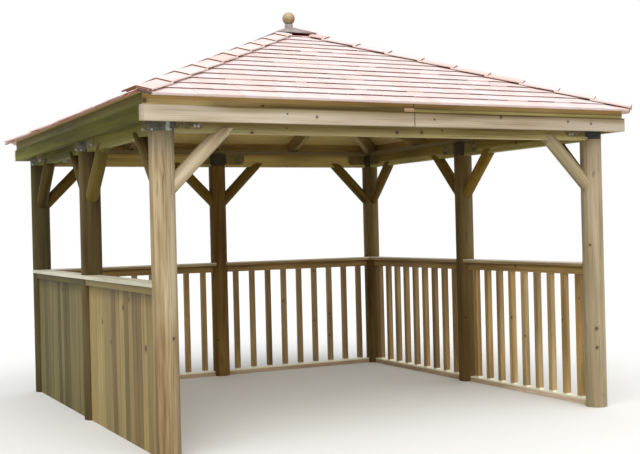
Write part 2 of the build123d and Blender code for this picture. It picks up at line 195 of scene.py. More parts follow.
def grain_brace(axis):
    """Grain along braces that rise at 45 degrees away from their posts, in the plane of this axis."""
    def place(g):
        x, y, z = g.object_xyz()
        along, across = (x, y) if axis == X else (y, x)
        out = g.math("PINGPONG", along, HALF / 2)
        log = g.math("MULTIPLY", g.math("ADD", out, z), math.sqrt(0.5))
        rise = g.math("MULTIPLY", g.math("SUBTRACT", z, out), math.sqrt(0.5))
        number = g.math("ROUND", g.math("DIVIDE", along, HALF / 2))
        log_shift = 7.3
        return rise, across, g.math("ADD", log, g.math("MULTIPLY", number, log_shift))
    return place


def grain_rafter(g):
    """Grain out from the middle on whichever side of the roof a point is."""
    x, y, z = g.object_xyz()
    x_out, y_out = g.math("ABSOLUTE", x), g.math("ABSOLUTE", y)
    return g.math("MINIMUM", x_out, y_out), z, g.math("MAXIMUM", x_out, y_out)


def grain_eaves(g):
    """Grain along the eaves on every side."""
    out, z, far = grain_rafter(g)
    return far, z, out


def grain_hip(g):
    """Grain along the diagonals."""
    x, y, z = g.object_xyz()
    x_out, y_out = g.math("ABSOLUTE", x), g.math("ABSOLUTE", y)
    return g.math("SUBTRACT", x_out, y_out), z, g.math("ADD", x_out, y_out)


def fence_parts(g, axis):
    """Places along and across a balustrade, the height, the nearest baluster's number, and 1 on a rail."""
    x, y, z = g.object_xyz()
    along, across = (x, y) if axis == X else (y, x)
    number = g.math("ROUND", g.math("DIVIDE", along, BALUSTER_STEP))
    rail = g.math("ADD", g.math("GREATER_THAN", z, HANDRAIL_UNDERSIDE), g.math("LESS_THAN", z, FOOT_RAIL_TOP))
    return along, across, z, number, rail


def grain_fence(axis):
    """Balusters upright and rails lying. Each baluster has grain from another place."""
    def place(g):
        along, across, z, number, rail = fence_parts(g, axis)
        baluster_shift = 3.7
        upright = g.vector(along, across, g.math("ADD", z, g.math("MULTIPLY", number, baluster_shift)))
        lying = g.vector(z, across, along)
        made = g.node("ShaderNodeMix", data_type="VECTOR")
        g.set(made.inputs[0], rail)
        g.set(made.inputs[4], upright)
        g.set(made.inputs[5], lying)
        return g.xyz(made.outputs[1])
    return place


def wood(name, grain, colours, tone=None, tints=None, knots=(), random_knots=None, contrast=1.0, fades=(),
         lines=(), ends=None, checks=0.0, shine=IN_OPEN):
    """Sawn or turned softwood.

    colours are the dark, middle and pale shades of its grain, or a dict with one set for what lies on the
    left side of the roof and one for the other sides. tone gives a number from 0 to 1 for each board, which
    moves its colour between the two tints. knots are (point, radius) on the frame. random_knots is (cells
    per metre, share of the cells that have one, radius). contrast is how strong the grain is. fades are as
    Graph.faded takes them. lines are thin lines, joints or painted highlights across an axis: (axis, place,
    half width, colour). ends is the colour of end grain, with painted shade for the butts of shingles and
    caps, on a mesh that marks it. checks is how strong the drying cracks are, and shine how much the
    surface reflects.
    """
    g = Graph(name)
    place = grain(g)
    a, b, length = place
    fibre = g.stretched(place, 170, 3.5, 3, 0.6)
    streak = g.stretched(place, 24, 1.2, 3, 0.6)
    slow = g.stretched(place, 5.0, 1.0, 2)
    warp = g.stretched(place, 5.0, 1.4, 2)
    off_a = g.math("ADD", a, 0.043)
    off_b = g.math("ADD", b, 0.061)
    radius = g.math("SQRT", g.math("ADD", g.math("MULTIPLY", off_a, off_a), g.math("MULTIPLY", off_b, off_b)))
    wavy = g.math("ADD", radius, g.math("MULTIPLY", warp, 0.055))
    rings = g.math("SINE", g.math("MULTIPLY", wavy, 2 * math.pi / RING_STEP))
    value = g.math("MULTIPLY_ADD", rings, 0.05 * contrast, 0.5)
    value = g.math("MULTIPLY_ADD", g.math("SUBTRACT", streak, 0.5), 0.9 * contrast, value)
    value = g.math("MULTIPLY_ADD", g.math("SUBTRACT", fibre, 0.5), 0.25 * contrast, value)
    value = g.math("MULTIPLY_ADD", g.math("SUBTRACT", slow, 0.5), 0.8 * contrast, value)
    if isinstance(colours, dict):
        sideways = g.math("GREATER_THAN", *[g.math("ABSOLUTE", flat) for flat in g.object_xyz()[:2]])
        left = g.math("MULTIPLY", sideways, g.math("LESS_THAN", g.object_xyz()[X], 0.0))
        ramps = [g.ramp(value, list(zip(GRAIN_STOPS, colours[key]))) for key in ("other", "left")]
        colour = g.mix(left, *ramps)
    else:
        colour = g.ramp(value, list(zip(GRAIN_STOPS, colours)))
    if checks:
        crack = g.stretched(place, 55, 0.8, 2, 0.4)
        crack = g.math("ABSOLUTE", g.math("SUBTRACT", crack, 0.52))
        crack = g.math("MULTIPLY", g.band(crack, 0.004, 0.014, 1.0, 0.0), g.band(slow, 0.5, 0.62, 0.15, 1.0))
        colour = g.mix(g.math("MULTIPLY", crack, checks), colour, rgb(84, 66, 42))
    if tints:
        tint = g.ramp(tone(g), [(0.15, tints[0]), (0.5, (1, 1, 1, 1)), (0.85, tints[1])])
        colour = g.mix(1.0, colour, tint, "MULTIPLY")
    height = g.math("MULTIPLY_ADD", rings, 0.25, fibre)
    if random_knots:
        cells, share, size = random_knots
        cell = g.node("ShaderNodeTexVoronoi", {"Vector": g.vector(*place), "Scale": cells})
        chance = g.xyz(cell.outputs["Color"])[0]
        far = g.math("DIVIDE", cell.outputs["Distance"], cells)
        far = g.math("ADD", far, g.math("GREATER_THAN", chance, share))
        far = g.math("MULTIPLY_ADD", g.math("SUBTRACT", streak, 0.5), 0.012, far)
        colour, height = add_knot(g, colour, height, far, size)
    if knots:
        position = g.node("ShaderNodeTexCoord").outputs["Object"]
        for point, size in knots:
            measure = g.node("ShaderNodeVectorMath", {0: position, 1: point}, operation="DISTANCE")
            far = g.math("MULTIPLY_ADD", g.math("SUBTRACT", fibre, 0.5), 0.006, measure.outputs["Value"])
            colour, height = add_knot(g, colour, height, far, size)
    colour = g.faded(colour, fades)
    for axis, centre, half, line_colour in lines:
        off = g.math("ABSOLUTE", g.math("SUBTRACT", g.object_xyz()[axis], centre))
        colour = g.mix(g.band(off, half * 0.6, half * 1.4, 1.0, 0.0), colour, line_colour)
    if ends:
        dull = g.mix(0.5, ends, g.mix(1.0, ends, colour, "MULTIPLY"))
        colour = g.mix(g.attribute("ends").outputs["Fac"], colour, dull)
    g.set(g.shader.inputs["Base Color"], colour)
    g.set(g.shader.inputs["Roughness"], g.math("MULTIPLY_ADD", fibre, 0.16, WOOD_ROUGHNESS))
    g.shader.inputs["Specular IOR Level"].default_value = shine
    g.bump(height, 0.0012, 0.35)
    return g.material


def add_knot(g, colour, height, far, size):
    """A dark knot with a brown ring round it."""
    halo = g.band(far, size * 0.9, size * 2.1, 1.0, 0.0)
    core = g.band(far, size * 0.55, size * 1.05, 1.0, 0.0)
    colour = g.mix(g.math("MULTIPLY", halo, 0.35), colour, rgb(120, 84, 50))
    colour = g.mix(g.math("MULTIPLY", core, 0.85), colour, rgb(70, 46, 30))
    return colour, g.math("MULTIPLY_ADD", core, 0.3, height)


def board_tone(g):
    """The tone that each board keeps in its faces."""
    return g.attribute("tone").outputs["Fac"]


def post_tone(g):
    """A tone for each post."""
    x, y, z = g.object_xyz()
    column = g.math("ROUND", g.math("DIVIDE", x, HALF))
    row = g.math("ROUND", g.math("DIVIDE", y, HALF))
    return g.white(g.math("MULTIPLY_ADD", row, 17.0, column))


def stretch_tone(axis, low, high):
    """The middle tone between two places along an axis, and the low one elsewhere."""
    def tone(g):
        value = g.object_xyz()[axis]
        inside = g.math("MULTIPLY", g.math("GREATER_THAN", value, low), g.math("LESS_THAN", value, high))
        return g.math("MULTIPLY_ADD", inside, 0.35, 0.15)
    return tone


def fence_tone(axis):
    """A tone for each baluster and one for the rails."""
    def tone(g):
        number, rail = fence_parts(g, axis)[3:]
        number = g.math("MULTIPLY", number, g.math("SUBTRACT", 1.0, rail))
        return g.white(g.math("ADD", number, 0.37))
    return tone


# Colours of the timber. The darker sets for the posts and braces under the roof, and for the beam, back
# panel, fascia and eaves on the left, are the same timber with painted shade; the pale left cap rails are
# paler with painted light.
POST = (rgb(124, 104, 76), rgb(163, 146, 118), rgb(194, 180, 156))
GREY_POST = (rgb(130, 116, 98), rgb(166, 156, 136), rgb(190, 184, 168))
DARK_POST = (rgb(82, 62, 32), rgb(112, 90, 52), rgb(134, 112, 72))
SHADY_POST = (rgb(88, 73, 42), rgb(121, 104, 66), rgb(144, 127, 86))
SHADED_GREEN_POST = (rgb(75, 65, 40), rgb(104, 93, 61), rgb(125, 114, 81))
DEEP_SHADED_GREEN_POST = (rgb(57, 50, 28), rgb(80, 71, 42), rgb(98, 89, 58))
FRONT_BEAM = (rgb(128, 112, 62), rgb(177, 161, 102), rgb(202, 188, 128))
BACK_BEAM = (rgb(126, 106, 52), rgb(174, 154, 88), rgb(202, 183, 112))
LEFT_BEAM = (rgb(96, 86, 36), rgb(134, 127, 64), rgb(157, 150, 84))
RIGHT_BEAM = (rgb(118, 108, 56), rgb(162, 152, 94), rgb(190, 178, 118))
PLATE = (rgb(82, 68, 42), rgb(112, 96, 68), rgb(130, 114, 84))
BRACE = (rgb(150, 124, 92), rgb(196, 178, 148), rgb(220, 208, 182))
SHADED_BRACE = (rgb(70, 50, 14), rgb(107, 84, 34), rgb(132, 108, 54))
LEFT_BRACE = (rgb(73, 61, 25), rgb(111, 95, 46), rgb(139, 123, 68))
FENCE = (rgb(120, 95, 60), rgb(163, 137, 94), rgb(195, 170, 124))
RAIL = (rgb(128, 102, 66), rgb(172, 148, 108), rgb(206, 188, 150))
PALE_RAIL = (rgb(176, 169, 142), rgb(212, 208, 186), rgb(232, 230, 214))
PANEL = (rgb(110, 96, 54), rgb(151, 133, 82), rgb(182, 162, 108))
SHADED_PANEL = (rgb(82, 74, 40), rgb(114, 105, 62), rgb(138, 128, 82))
FASCIA = (rgb(152, 134, 106), rgb(196, 182, 158), rgb(218, 208, 190))
MOSSY_SHADED_FASCIA = (rgb(58, 54, 12), rgb(81, 78, 20), rgb(99, 96, 34))
EAVES = (rgb(146, 122, 74), rgb(197, 175, 118), rgb(224, 204, 152))
MOSSY_SHADED_EAVES = (rgb(78, 76, 18), rgb(107, 106, 32), rgb(126, 124, 46))
RAFTER = (rgb(120, 100, 60), rgb(158, 138, 92), rgb(184, 164, 116))
DECK = (rgb(200, 174, 108), rgb(224, 198, 126), rgb(238, 214, 146))
SHINGLE = (rgb(216, 190, 184), rgb(234, 216, 213), rgb(244, 230, 229))
BALL = (rgb(133, 107, 70), rgb(168, 148, 114), rgb(198, 181, 148))
BLOCK = (rgb(196, 152, 120), rgb(226, 186, 152), rgb(240, 208, 180))
JOINT = rgb(74, 56, 38)
# End colours of the shingles and hip caps: end grain, with painted shade in their dark butt lines.
SHINGLE_END_GRAIN_AND_SHADE = {"front": rgb(106, 84, 82), "warm": rgb(196, 122, 84), "left": rgb(150, 88, 56)}
CAP_END_GRAIN_AND_SHADE = rgb(136, 92, 68)

# The tints that boards, posts and logs vary between, and the tone of each hip cap that the front shows
WARM_COOL = (rgb(226, 214, 204), rgb(255, 244, 220))
PANEL_TINTS = (rgb(200, 188, 168), rgb(270, 268, 262))
FRONT_BRACE_TINTS = (rgb(224, 226, 216), rgb(255, 255, 255))
SHADY_TINTS = (rgb(196, 190, 180), rgb(255, 255, 255))
SHINGLE_TINTS = (rgb(254, 246, 243), rgb(255, 254, 255))
CAP_TINTS = (rgb(246, 220, 206), rgb(255, 255, 255))
CAP_TONES = {"front": (0.4, 0.85, 0.8, 0.85, 0.28, 0.7, 0.65, 0.55, 0.85, 0.5),
             "right": (0.75, 0.6, 0.5, 0.35, 0.45, 0.4, 0.85, 0.6, 0.85, 0.3)}

# Fades and lines that several pieces share: painted shade under the cap rails, painted highlights along the
# tops of the cap rails and foot rails, and painted light on the foot rails.
SHADE_UNDER_RAIL = [(Z, 0.88, 0.97, rgb(210, 208, 184))]
RAIL_TOP_HIGHLIGHT = [(Z, 1.052, 1.057, rgb(290, 296, 318))]
RAIL_EDGE_HIGHLIGHT = [(Z, 1.058, 0.0075, rgb(252, 246, 236))]
FOOT_RAIL_HIGHLIGHT = [(Z, 0.0455, 0.011, rgb(255, 250, 226))]
FENCE_LIGHT_AND_SHADE = [(Z, 0.048, 0.042, rgb(296, 320, 424)), (Z, 1.000, 1.018, rgb(212, 204, 164))]

# A dark red painted shade for the wood in the hollow under the apex cap, and nowhere past the cap's edge
UNDER_APEX, APEX_EDGE = 0.160, 0.168
APEX_HOLLOW_SHADE = [(X, -APEX_EDGE, -UNDER_APEX, rgb(190, 70, 60), (X, APEX_EDGE, UNDER_APEX),
              (Y, -APEX_EDGE, -UNDER_APEX), (Y, APEX_EDGE, UNDER_APEX))]


def knots_on(axis, face, spots):
    """Knots on a flat face across an axis, each given as (place along the face, height, radius)."""
    def point(along, height):
        return (face, along, height) if axis == X else (along, face, height)
    return [(point(along, height), size) for along, height, size in spots]


# Knots where they show
FASCIA_KNOTS = knots_on(Y, -1.825, [(-0.892, 2.069, 0.006), (-0.689, 2.054, 0.009), (0.181, 2.060, 0.007),
                                    (0.720, 2.088, 0.012), (1.300, 2.070, 0.009), (1.509, 2.060, 0.009)])
# The first eaves knot is painted shade in the gap at the front left corner, drawn as a knot.
EAVES_KNOTS_AND_CORNER_SHADE = knots_on(Y, -1.812, [(-1.800, 2.125, 0.018), (-1.050, 2.114, 0.008)])
BEAM_KNOTS = knots_on(Y, -1.685, [(-1.072, 1.960, 0.012), (-0.834, 1.994, 0.006), (-0.026, 1.982, 0.012),
                                  (0.166, 1.986, 0.012), (0.330, 2.001, 0.008)])
PANEL_KNOTS = knots_on(X, -1.6925, [(-0.922, 0.869, 0.024), (-1.050, 0.928, 0.018), (-0.406, 0.742, 0.018),
                                    (0.744, 0.922, 0.020), (-0.618, 0.617, 0.017), (-1.383, 0.642, 0.022)])
BACK_FENCE_KNOTS = knots_on(Y, 1.628, [(0.984, 0.939, 0.010), (0.971, 0.457, 0.010), (1.142, 0.514, 0.010),
                                       (1.139, 0.300, 0.010), (0.644, 0.668, 0.010)])
RIGHT_FENCE_KNOTS = knots_on(X, 1.628, [(-0.674, 0.591, 0.010), (-0.847, 0.453, 0.010),
                                        (-1.187, 0.485, 0.010), (-1.314, 0.615, 0.010),
                                        (-1.511, 0.790, 0.010), (-0.743, 1.013, 0.012)])
POST_KNOTS = {"post_front_left": [((-1.626, -1.723, 0.726), 0.010)],
              "post_front_right": [((1.610, -1.716, 0.578), 0.014), ((1.586, -1.693, 1.188), 0.010)],
              "post_back": [((-0.053, 1.594, 0.341), 0.010)],
              "post_right": [((1.602, -0.060, 0.553), 0.010)]}


def metal(name, colours, roughness, scale, metallic, shaded_inner=None, arms=None, fades=()):
    """Zinc with a soft spangle and dull patches.

    colours are its dark and pale shades. shaded_inner are those of what is away from the front and left, with
    painted shade. arms are the tints of what lies off the posts, first by the front and left and then away
    from them, which paint reflected light on the arms.
    """
    g = Graph(name)
    position = g.node("ShaderNodeTexCoord").outputs["Object"]
    spangle = g.node("ShaderNodeTexVoronoi", {"Vector": position, "Scale": scale})
    patch = g.noise(position, scale * 0.12, 3, 0.6)
    value = g.math("MULTIPLY_ADD", g.xyz(spangle.outputs["Color"])[0], 0.35, g.math("MULTIPLY", patch, 0.75))
    stops = (0.2, 0.8)
    colour = g.faded(g.ramp(value, list(zip(stops, colours))), fades)
    if shaded_inner:
        x, y, z = g.object_xyz()
        away = g.math("MULTIPLY", g.band(x, -1.45, -1.35), g.band(y, -1.4, -1.3))
        colour = g.mix(away, colour, g.ramp(value, list(zip(stops, shaded_inner))))
    if arms:
        off_x, off_y = [g.math("PINGPONG", flat, HALF / 2) for flat in g.object_xyz()[:2]]
        reach = g.math("MAXIMUM", off_x, off_y)
        tint = g.mix(1.0, colour, g.mix(away, *arms), "MULTIPLY")
        colour = g.mix(g.band(reach, 0.076, 0.09), colour, tint)
    g.set(g.shader.inputs["Base Color"], colour)
    g.set(g.shader.inputs["Roughness"], g.math("MULTIPLY_ADD", patch, 0.25, roughness))
    g.shader.inputs["Metallic"].default_value = metallic
    g.bump(g.noise(position, scale * 2, 2), 0.0004, 0.2)
    return g.material


def dress(names, material, bevel=0.0):
    """Gives a CAD node its material, and takes the sharpness off its edges."""
    for name in names:
        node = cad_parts[name]
        node.data.materials.clear()
        node.data.materials.append(material)
        if bevel:
            weld = node.modifiers.new("weld", "WELD")
            weld.merge_threshold = 0.00001
            edge = node.modifiers.new("edges", "BEVEL")
            edge.width = bevel
            edge.segments = 2
            edge.limit_method = "ANGLE"
            edge.angle_limit = math.radians(35)


def linked(name, data):
    """Puts a mesh, a camera or a light into the scene."""
    piece = bpy.data.objects.new(name, data)
    bpy.context.scene.collection.objects.link(piece)
    return piece


class Boards:
    """Many pieces of timber in one mesh, each with its own grain, tone and amount of end grain colour, with
    painted shade on the butts of shingles and caps.
    """

    def __init__(self, seed):
        self.random = random.Random(seed)
        self.points, self.faces, self.grain, self.tone, self.ends = [], [], [], [], []

    def prism(self, base, top, along, tone=None, dark=1.0):
        """A solid between two loops of as many points, with the grain along a direction.

        dark is how much its sawn ends take the colour of end grain, with its painted shade.
        """
        first, count = len(self.points), len(base)
        base, top = [Vector(p) for p in base], [Vector(p) for p in top]
        along = Vector(along).normalized()
        across = along.orthogonal().normalized()
        other = along.cross(across)
        shift = Vector([self.random.uniform(-8, 8) for _ in range(3)])
        for point in base + top:
            self.points.append(point)
            self.grain.append(Vector((point.dot(across), point.dot(other), point.dot(along))) + shift)
        loops = [list(range(count))[::-1], list(range(count, 2 * count))]
        loops += [[i, (i + 1) % count, count + (i + 1) % count, count + i] for i in range(count)]
        tone = self.random.random() if tone is None else tone
        for loop in loops:
            a, b, c = [(base + top)[i] for i in loop[:3]]
            self.faces.append([first + i for i in loop])
            facing = abs((b - a).cross(c - b).normalized().dot(along))
            self.ends.append(dark if facing > 0.8 else float(facing > 0.6))
            self.tone.append(tone)

    def finish(self, name, material, bevel):
        mesh = bpy.data.meshes.new(name)
        mesh.from_pydata([tuple(p) for p in self.points], [], self.faces)
        mesh.attributes.new("grain", "FLOAT_VECTOR", "POINT").data.foreach_set(
            "vector", np.array([tuple(g) for g in self.grain], dtype=np.float32).ravel())
        mesh.attributes.new("tone", "FLOAT", "FACE").data.foreach_set("value", self.tone)
        mesh.attributes.new("ends", "FLOAT", "FACE").data.foreach_set("value", self.ends)
        shape = bmesh.new()
        shape.from_mesh(mesh)
        bmesh.ops.recalc_face_normals(shape, faces=shape.faces)
        shape.to_mesh(mesh)
        shape.free()
        mesh.materials.append(material)
        piece = linked(name, mesh)
        if bevel:
            edge = piece.modifiers.new("edges", "BEVEL")
            edge.width = bevel
            edge.segments = 1
            edge.limit_method = "ANGLE"
        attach(piece, "root")
        return piece


def clipped(loop, a, b, c):
    """The part of a flat loop of (u, v) points where a * u + b * v <= c."""
    kept = []
    for (u0, v0), (u1, v1) in zip(loop, loop[1:] + loop[:1]):
        d0, d1 = a * u0 + b * v0 - c, a * u1 + b * v1 - c
        if d0 <= 0:
            kept.append((u0, v0))
        if d0 * d1 < 0:
            share = d0 / (d0 - d1)
            kept.append((u0 + (u1 - u0) * share, v0 + (v1 - v0) * share))
    return kept


def turned(point, side):
    """A point of the front side, turned to another side."""
    x, y, z = point
    for _ in range(SIDES[side]):
        x, y = -y, x
    return (x, y, z)


def on_slope(x, up, out, side):
    """A point on a slope: along the eave, up the slope from its edge, and out of the deck."""
    y = -EAVE_EDGE + up * COSINE - out * SINE
    return turned((x, y, DECK_APEX - SLOPE * EAVE_EDGE + up * SINE + out * COSINE), side)


def make_shingles(side, material):
    """One slope of single shingles in lapped courses, cut along the hips and across the corners."""
    boards = Boards(40 + SIDES[side])
    chance = boards.random
    hip_gap, corner_gap = 0.004, 0.008
    narrowest, widest, stagger = 0.075, 0.19, 0.018
    thickness, length, top_edge = 0.016, 0.25, 2.06
    corner = 2 * HIP_FOOT - EAVE_EDGE - SLOPE ** 2 * (EAVE_EDGE - HIP_FOOT)
    corner -= corner_gap * math.sqrt(2 + SLOPE ** 2)

    def lay(x0, x1, start, stop, outs, dark):
        """One shingle. outs are how far its underside and face stand out at the butt, each with its fall."""
        loop = [(x0, start), (x1, start), (x1, stop), (x0, stop)]
        loop = clipped(clipped(loop, 1, COSINE, EAVE_EDGE - hip_gap), -1, COSINE, EAVE_EDGE - hip_gap)
        rise = COSINE + SLOPE * SINE
        loop = clipped(clipped(loop, -1, -rise, corner), 1, -rise, corner)
        if len(loop) < 3:
            return
        low, low_slope, high, high_slope = outs
        base = [on_slope(x, up, max(low - low_slope * (up - start), HAIR), side) for x, up in loop]
        top = [on_slope(x, up, max(high - high_slope * (up - start), 0.0012), side) for x, up in loop]
        boards.prism(base, top, turned((0, COSINE, SINE), side), None, dark)

    # A flat starter course, then fifteen lapped courses and what is left of one under the apex
    joints = []
    for course in range(-1, 16):
        start = max(course, 0) * COURSE
        half = EAVE_EDGE - start * COSINE
        marks = [-half]
        while marks[-1] < half:
            mark = marks[-1] + chance.uniform(narrowest, widest)
            if any(abs(mark - other) < stagger for other in joints):
                mark += 0.03
            marks.append(mark)
        joints = marks
        for x0, x1 in zip(marks, marks[1:]):
            slip = 0.0 if chance.random() < 0.6 else chance.uniform(0, 0.005)
            gap = chance.uniform(0.0006, 0.0022)
            if course < 0:
                starter = (HAIR, 0.0, 0.0058, 0.02)
                lay(x0 + gap, x1 - gap, 0.002, 0.17, starter, 1.0 if side == "left" else 0.1)
            else:
                thick = thickness - chance.uniform(0, 0.0016)
                outs = (0.0061, 0.034, thick, (thick - 0.006) / COURSE)
                edge = 0.1 if side == "front" else chance.uniform(0.6, 1.0)
                dark = edge if course == 0 else 0.3 if chance.random() < 0.12 else chance.uniform(0.75, 1.0)
                lay(x0 + gap, x1 - gap, start + slip, min(start + length, top_edge), outs, dark)
    piece = boards.finish(f"{side}_shingle_boards", material, 0.0008)
    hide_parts(f"{side}_shingles")


def make_hip_caps(material):
    """Ten lapped caps on each hip, each of two boards that meet on the fold, over a starter.

    The top ones stop short, so that a hollow shows under the apex cap.
    """
    boards = Boards(50)
    count, thickness, head, overlap, hollow = 10, 0.01, 0.034, 0.028, 0.16
    exposure = ((HIP_FOOT - head) * math.sqrt(2 + SLOPE ** 2) - overlap) / count
    fold = math.asin(SINE / math.sqrt(2))
    tilt = math.asin(thickness / exposure)
    base_lift = 0.0163
    length = exposure + overlap
    up = Vector((1, 1, SLOPE)).normalized()
    out = Vector((-SLOPE, -SLOPE, 2)).normalized()
    side_way = Vector((-1, 1, 0)).normalized()
    start = Vector((-HIP_FOOT, -HIP_FOOT, DECK_APEX - SLOPE * HIP_FOOT))

    def cap(lift, reach, base, lean, side, tone, width=0.1):
        """Both boards of one cap, lift up the hip from its foot, with the butt at base over the deck."""
        ahead = up * math.cos(lean) - out * math.sin(lean)
        rise = ahead.cross(side_way)
        across, down = width * math.cos(fold), width * math.sin(fold)
        low, high = base / math.cos(fold), (base + thickness) / math.cos(fold)
        for hand in (1, -1):
            edge = (across + thickness * math.sin(fold), low - down + thickness * math.cos(fold))
            section = [(HAIR * hand, low), (across * hand, low - down), (edge[0] * hand, edge[1]),
                       (HAIR * hand, high)]
            loop = [start + up * lift + side_way * a + rise * b for a, b in section]
            far = [point + ahead * reach for point in loop]
            way = turned(ahead, side)
            boards.prism([turned(p, side) for p in loop], [turned(p, side) for p in far], way,
                         min(max(tone + boards.random.uniform(-0.06, 0.06), 0), 1))

    for side in SIDES:
        cap(0.003, exposure / 2, base_lift, 0, side, 0.3, 0.07)
        for number in range(count):
            butt = base_lift + length * math.sin(tilt)
            tone = CAP_TONES[side][number] if side in CAP_TONES else boards.random.uniform(0.3, 0.8)
            reach = length - hollow if number == count - 1 else length
            cap(number * exposure, reach, butt, tilt, side, tone)
    piece = boards.finish("hip_cap_boards", material, 0.001)
    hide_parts("hip_caps")


def make_panel(name, start, material):
    """One closed bay on the left: tongued and grooved boards on two rails, with a trim strip on top."""
    boards = Boards(60 + int(start < 0))
    end = start + HALF
    rail_face, board_face, trim_face = -HALF - 0.0225, -HALF - 0.0425, -HALF - 0.0625
    first_board, board_width, board_count, trim_underside = 0.06, 0.0955, 15, 0.985

    def chord(x):
        return math.sqrt(POST_RADIUS ** 2 - (x + HALF) ** 2)

    def upright(plan, low, high, along):
        boards.prism([(x, y, low) for x, y in plan], [(x, y, high) for x, y in plan], along)

    def lying(x0, x1, low, high):
        xs = [x0 + (x1 - x0) * i / 4 for i in range(5)]
        plan = [(x, start + chord(x)) for x in xs] + [(x, end - chord(x)) for x in reversed(xs)]
        upright(plan, low, high, (0, 1, 0))

    lying(rail_face + HAIR, -HALF + 0.0225, 0.0, FOOT_RAIL_TOP)
    lying(rail_face + HAIR, -HALF + 0.0225, HANDRAIL_UNDERSIDE, CAP_UNDERSIDE - HAIR)
    lying(trim_face, board_face - HAIR, trim_underside, CAP_UNDERSIDE - HAIR)
    groove, chamfer = 0.0003, 0.0035
    marks = [start + chord(board_face)]
    marks += [start + first_board + board_width * number for number in range(1, board_count + 1)]
    marks.append(end - chord(board_face))
    for number, (low, high) in enumerate(zip(marks, marks[1:])):
        low, high = low + groove, high - groove
        inner_low = start + chord(rail_face) + groove if number == 0 else low
        inner_high = end - chord(rail_face) - groove if number == len(marks) - 2 else high
        plan = [(rail_face, inner_low), (board_face + chamfer, low), (board_face, low + chamfer),
                (board_face, high - chamfer), (board_face + chamfer, high), (rail_face, inner_high)]
        upright(plan, 0.0, CAP_UNDERSIDE - HAIR, (0, 0, 1))
    piece = boards.finish(name, material, 0.0)
    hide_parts(name.replace("boards", "panel"))


def make_bolts(material):
    """Hexagon heads on round washers, four near the end of each bracket arm and four round each collar."""
    arm_face, collar_radius, collar_height = 0.0391, 0.0771, 1.970
    washer_radius, washer_height, head_radius, collar_share = 0.0105, 0.0018, 0.0075, 0.75
    right, left, back, front = (1, 0), (-1, 0), (0, 1), (0, -1)
    arms = (((-1, -1), (right, back)), ((1, -1), (left, back)), ((1, 1), (left, front)),
            ((-1, 1), (right, front)), ((0, 1), (right, left)), ((1, 0), (back, front)),
            ((-1, 0), (back, front)))
    spots = []
    for (post_x, post_y), ways in arms:
        centre = Vector((post_x * HALF, post_y * HALF, 0))
        for way in ways:
            along = Vector((*way, 0))
            across = Vector((abs(way[1]), abs(way[0]), 0))
            for hand in (1, -1):
                for height in (1.996, 2.048):
                    for reach in (0.201, 0.225):
                        spot = centre + along * reach + across * arm_face * hand + Vector((0, 0, height))
                        spots.append((spot, across * hand, 1.0))
        for angle in (30, 120, 210, 300):
            normal = Vector((math.cos(math.radians(angle)), math.sin(math.radians(angle)), 0))
            spot = centre + normal * collar_radius + Vector((0, 0, collar_height))
            spots.append((spot, normal, collar_share))
    points, faces = [], []

    def disc(centre, normal, radius, low, high, sides):
        first = len(points)
        u = normal.orthogonal().normalized()
        v = normal.cross(u)
        for depth in (low, high):
            for i in range(sides):
                angle = 2 * math.pi * i / sides
                rim = u * radius * math.cos(angle) + v * radius * math.sin(angle)
                points.append(centre + normal * depth + rim)
        faces.append([first + i for i in reversed(range(sides))])
        faces.append([first + sides + i for i in range(sides)])
        for i in range(sides):
            j = (i + 1) % sides
            faces.append([first + i, first + j, first + sides + j, first + sides + i])

    for spot, normal, size in spots:
        disc(spot, normal, washer_radius * size, 0.0, washer_height, 16)
        disc(spot, normal, head_radius * size, washer_height + 0.0001, head_radius * size, 6)
    mesh = bpy.data.meshes.new("bracket_bolts")
    mesh.from_pydata([tuple(p) for p in points], [], faces)
    mesh.materials.append(material)
    piece = linked("bracket_bolts", mesh)
    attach(piece, "root")


def make_block(material):
    """A small offcut nailed over the joint of the eaves board."""
    boards = Boards(70)
    left, right, face, back, low, high = -0.046, 0.028, -1.8204, -1.8122, 2.1062, 2.1300
    plan = [(left, face), (right, face), (right, back), (left, back)]
    boards.prism([(x, y, low) for x, y in plan], [(x, y, high) for x, y in plan], (1, 0, 0))
    piece = boards.finish("eaves_block", material, 0.001)


def make_camera():
    """The camera that was fitted to the photograph's posts, rails and boards."""
    place = (-3.735, -7.846, 1.365)
    yaw, pitch, roll = 0.46866, 0.00034, -0.0245
    ahead = Vector((math.sin(yaw) * math.cos(pitch), math.cos(yaw) * math.cos(pitch), math.sin(pitch)))
    level = Vector((math.cos(yaw), -math.sin(yaw), 0))
    above = level.cross(ahead)
    right = math.cos(roll) * level + math.sin(roll) * above
    up = math.cos(roll) * above - math.sin(roll) * level
    data = bpy.data.cameras.new("camera")
    data.sensor_fit = "HORIZONTAL"
    data.sensor_width = 36
    data.lens = 60.78
    data.clip_end = 300
    camera = linked("camera", data)
    turn = Matrix((right, up, -ahead)).transposed().to_4x4()
    camera.matrix_world = Matrix.Translation(place) @ turn
    bpy.context.scene.camera = camera


